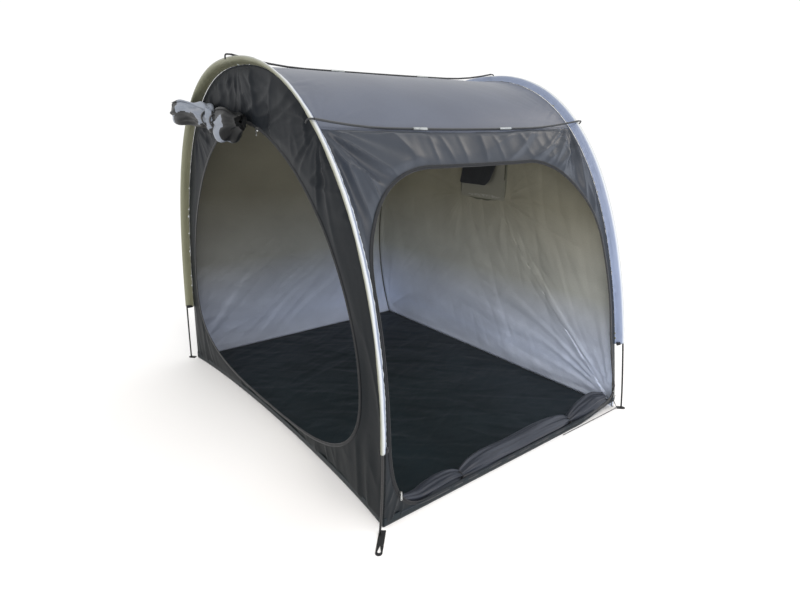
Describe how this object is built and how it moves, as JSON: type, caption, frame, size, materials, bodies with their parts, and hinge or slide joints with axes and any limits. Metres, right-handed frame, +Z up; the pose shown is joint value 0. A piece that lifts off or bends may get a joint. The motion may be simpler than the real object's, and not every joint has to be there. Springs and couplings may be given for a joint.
{
  "type": "tunnel tent on arch poles",
  "caption": "Tunnel-shaped storage tent on two sleeved arch poles and hooked spreader poles, with rolled-up end and front doors, vent flap and floor.",
  "frame": {"origin": "on the ground under the middle of the tent", "axes": "+X along the tunnel from arch A, at the rolled end door, to arch B; +Y across it, from the front door to the back; +Z up"},
  "size_m": [1.6564, 2.1794, 1.6682],
  "materials": {
    "slate_fabric": "coated polyester taffeta, slate outside",
    "roof_fabric": "coated polyester taffeta, soft sheen",
    "end_fabric": "coated polyester taffeta, dark slate",
    "floor_sheet": "coated groundsheet, near black",
    "silver_sleeve": "silver-coated polyester",
    "black_fabric": "black polyester",
    "fibreglass": "pultruded fibreglass, satin",
    "ferrule_metal": "bright metal",
    "black_plastic": "moulded black plastic",
    "webbing": "woven polypropylene webbing",
    "zip_metal": "plated die-cast metal"
  },
  "bodies": {
    "root": {"arch_a_pole_1": "fibreglass", "arch_a_pole_2": "fibreglass", "arch_a_pole_3": "fibreglass", "arch_a_pole_4": "fibreglass", "arch_a_pole_5": "fibreglass", "arch_a_pole_6": "fibreglass", "arch_a_pole_7": "fibreglass", "arch_b_pole_1": "fibreglass", "arch_b_pole_2": "fibreglass", "arch_b_pole_3": "fibreglass", "arch_b_pole_4": "fibreglass", "arch_b_pole_5": "fibreglass", "arch_b_pole_6": "fibreglass", "arch_b_pole_7": "fibreglass", "sleeve_a": "silver_sleeve", "sleeve_b": "silver_sleeve", "roof_panel": "roof_fabric", "back_wall": "slate_fabric", "front_wall": "slate_fabric", "end_wall_a": "end_fabric", "end_wall_b": "slate_fabric", "floor": "floor_sheet", "vent_hood": "slate_fabric", "front_door_roll": "slate_fabric", "front_door_tie_1": "webbing", "front_door_tie_2": "webbing", "door_a_roll": "silver_sleeve", "door_a_tie": "webbing", "corner_strap_front_a": "webbing", "corner_strap_front_b": "webbing", "corner_strap_rear_a": "webbing", "corner_strap_rear_b": "webbing"},
    "ridge_spreader": {"ridge_pole_1": "fibreglass", "ridge_pole_2": "fibreglass", "ridge_pole_3": "fibreglass", "ridge_ferrule_1": "ferrule_metal", "ridge_ferrule_2": "ferrule_metal", "ridge_hook_a": "black_plastic", "ridge_hook_b": "black_plastic"},
    "front_spreader": {"front_pole_1": "fibreglass", "front_pole_2": "fibreglass", "front_pole_3": "fibreglass", "front_ferrule_1": "ferrule_metal", "front_ferrule_2": "ferrule_metal", "front_hook_a": "black_plastic", "front_hook_b": "black_plastic"},
    "rear_spreader": {"rear_pole_1": "fibreglass", "rear_pole_2": "fibreglass", "rear_pole_3": "fibreglass", "rear_ferrule_1": "ferrule_metal", "rear_ferrule_2": "ferrule_metal", "rear_hook_a": "black_plastic", "rear_hook_b": "black_plastic"},
    "vent_flap": {"vent_flap": "black_fabric"},
    "zip_front_a": {"zip_slider_front_a": "zip_metal"},
    "pull_front_a": {"zip_pull_front_a": "zip_metal"},
    "zip_front_b": {"zip_slider_front_b": "zip_metal"},
    "pull_front_b": {"zip_pull_front_b": "zip_metal"},
    "zip_door_a": {"zip_slider_door_a": "zip_metal"},
    "pull_door_a": {"zip_pull_door_a": "zip_metal"}
  },
  "joints": [
    {"name": "ridge_lift", "type": "slide", "parent": "root", "child": "ridge_spreader", "axis": [0, 0, 1], "range_m": [0, 0.12]},
    {"name": "front_lift", "type": "slide", "parent": "root", "child": "front_spreader", "axis": [0, -0.6896, 0.7242], "range_m": [0, 0.12]},
    {"name": "rear_lift", "type": "slide", "parent": "root", "child": "rear_spreader", "axis": [0, 0.6896, 0.7242], "range_m": [0, 0.12]},
    {"name": "zip_front_a_run", "type": "slide", "parent": "root", "child": "zip_front_a", "axis": [-0.2501, 0, 0.9682], "range_m": [0, 0.14]},
    {"name": "zip_front_b_run", "type": "slide", "parent": "root", "child": "zip_front_b", "axis": [-0.2995, 0, 0.9541], "range_m": [0, 0.16]},
    {"name": "zip_door_a_run", "type": "slide", "parent": "root", "child": "zip_door_a", "axis": [0, -0.9639, -0.2661], "range_m": [0, 0.06]},
    {"name": "pull_front_a_swing", "type": "hinge", "parent": "zip_front_a", "child": "pull_front_a", "pos_m": [-0.6591, -0.9982, 0.1267], "axis": [-1, 0, 0], "range_deg": [0, 120]},
    {"name": "pull_front_b_swing", "type": "hinge", "parent": "zip_front_b", "child": "pull_front_b", "pos_m": [0.6945, -0.9982, 0.1077], "axis": [-1, 0, 0], "range_deg": [0, 120]},
    {"name": "pull_door_a_swing", "type": "hinge", "parent": "zip_door_a", "child": "pull_door_a", "pos_m": [-0.7268, -0.1144, 1.3814], "axis": [0, 1, 0], "range_deg": [0, 120]},
    {"name": "vent_flap_swing", "type": "hinge", "parent": "root", "child": "vent_flap", "pos_m": [0.63445, -0.0725, 1.213], "axis": [0, 1, 0], "range_deg": [0, 95]}
  ]
}
